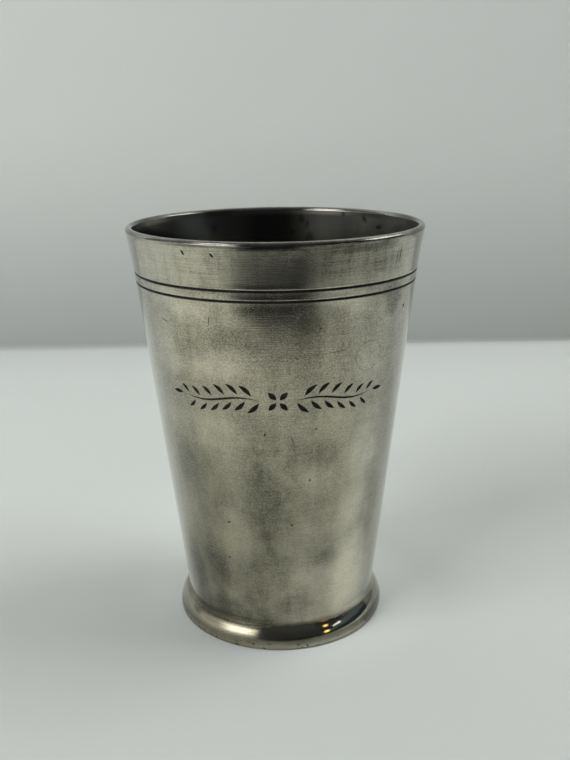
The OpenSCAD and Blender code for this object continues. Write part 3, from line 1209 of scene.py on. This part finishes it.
# %% [markdown]
# ## Finish of the foot
# The swelling of the foot stands out and is rubbed by every table. On the right it was polished
# bright, a little way up into the hollow neck, and on the left it stays satin, with the wall's patina
# running down over the neck. On the left the neck is darker still, as painted shade where the foot
# meets the wall. Specks of dirt lie along the bottom edge, and the foot is darker towards that edge,
# most of all in front; its thinnest line is painted shade where it meets the table, with dirt.

# %% Finish of the foot
polished, polished_shader, place = new_finish("polished_pewter")
x, y, z = (part_of(place, axis) for axis in range(3))
left_side = x.ease(-12 * MM, -20 * MM)
bright = x.ease(-14 * MM, 8 * MM)
neck = (z - 0.52 * MM * x.ease(-10 * MM, 0.0)).ease(4.95 * MM, 5.45 * MM)
low_part = z.ease(3.4 * MM, 2.5 * MM)
# The foot is darker towards its bottom edge, most of all in front.
low_darkening = low_part * (0.45 + 0.4 * z.ease(0.8 * MM, 2.3 * MM))
low_darkening = low_darkening + 0.3 * x.ease(0.0, 6 * MM) * z.ease(1.0 * MM, 1.7 * MM) * low_part
# The thinnest line along the bottom edge: painted shade where the foot meets the table, and dirt.
contact_shade_and_soil = z.ease(0.7 * MM, 0.25 * MM)
dents = clouds(place, 800.0, 2.0, (1.0, 1.0, 1.6)).ease(0.6, 0.66) * z.ease(2.4 * MM, 1.2 * MM)
lines = turned_lines(place)
streaks = clouds(place, 60.0, 4.0, (1.0, 1.0, 30.0)).ease(0.35, 0.7)
low_weight = 0.72 + 0.2 * x.ease(12 * MM, 0.0)
tone = patina_and_painted_light(place) * (0.45 + 0.55 * neck) + 0.22 * left_side + 0.35 * contact_shade_and_soil
tone = tone + low_weight * low_darkening * (1 - 0.55 * left_side)
tone = tone + 0.35 * (lines - 0.5) + 0.2 * streaks * (1 - bright)
# The hollow neck is darker on the left, as painted shade where the foot meets the wall, and a little
# paler at the right end.
tone = tone + neck * (0.05 + 0.3 * x.ease(6 * MM, -6 * MM) * x.ease(-21 * MM, -14 * MM))
tone = tone + x.ease(20 * MM, 25 * MM) * (0.6 - 0.38 * y.ease(-8 * MM, 2 * MM))
tone = tone - 0.3 * neck * x.ease(15 * MM, 20 * MM)
foot_colour = dents.mix(warm(place, tone), DIRT_AND_SHADE)
wavy = clouds(place, 160.0, 1.0) + 0.3 * streaks
feed(polished_shader, Metallic=1.0, Coat_Weight=0.5, Coat_Roughness=COAT_ROUGH)
feed(polished_shader, Base_Color=foot_colour)
satin_left = (1 - bright) * (0.1 + 0.06 * streaks)
rough_foot = 0.06 + satin_left + 0.14 * z.ease(3.4 * MM, 2.0 * MM) + 0.35 * neck
feed(polished_shader, Roughness=rough_foot)
feed(polished_shader, Normal=relief(wavy, 0.35, 0.03 * MM))
foot.data.materials.append(polished)
print("foot finish:", polished.name)

# %% Finish of the plate and the solder
DULL_PALE = rgb(0.42, 0.41, 0.37)
DULL_DARK = rgb(0.2, 0.196, 0.17)
TIN_PALE = rgb(0.36, 0.36, 0.34)
TIN_DARK = rgb(0.12, 0.12, 0.11)


def turned_face(name, pale, dark, roughness):
    """Metal with rings that a tool left round the axis, and clouds of tarnish."""
    material, shader, place = new_finish(name)
    x, y = part_of(place, 0), part_of(place, 1)
    squared = x * x + y * y
    radius = squared.math("SQRT", squared)
    across = place.node("ShaderNodeCombineXYZ", (), {"X": radius})
    rings = clouds(across, 2600.0, 3.0)
    tone = clouds(place, 90.0, 4.0).ease(0.3, 0.7) + 0.7 * (rings - 0.5)
    feed(shader, Base_Color=tone.mix(pale, dark), Roughness=roughness + 0.1 * tone, Metallic=0.6)
    feed(shader, Normal=relief(rings, 0.3, 0.02 * MM))
    return material


dull = turned_face("dull_pewter", DULL_PALE, DULL_DARK, 0.36)
plate.data.materials.append(dull)
tin = turned_face("solder", TIN_PALE, TIN_DARK, 0.3)
floor_seam.data.materials.append(tin)
ledge_seam.data.materials.append(tin)
print("other finishes:", dull.name, tin.name)

# %% [markdown]
# ## Joining the frame
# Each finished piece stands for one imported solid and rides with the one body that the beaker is.

# %% Ride and replace
STANDS_FOR = {
    wall: ("body_wall", "satin_pewter"),
    plate: ("base_plate", "dull_pewter"),
    foot: ("foot_ring", "polished_pewter"),
    floor_seam: ("floor_seam_solder", "solder"),
    ledge_seam: ("ledge_seam_solder", "solder"),
}
for piece, (node, slot) in STANDS_FOR.items():
    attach(piece, "root")
    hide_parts(node)
print("pieces:", [piece.name for piece in STANDS_FOR])
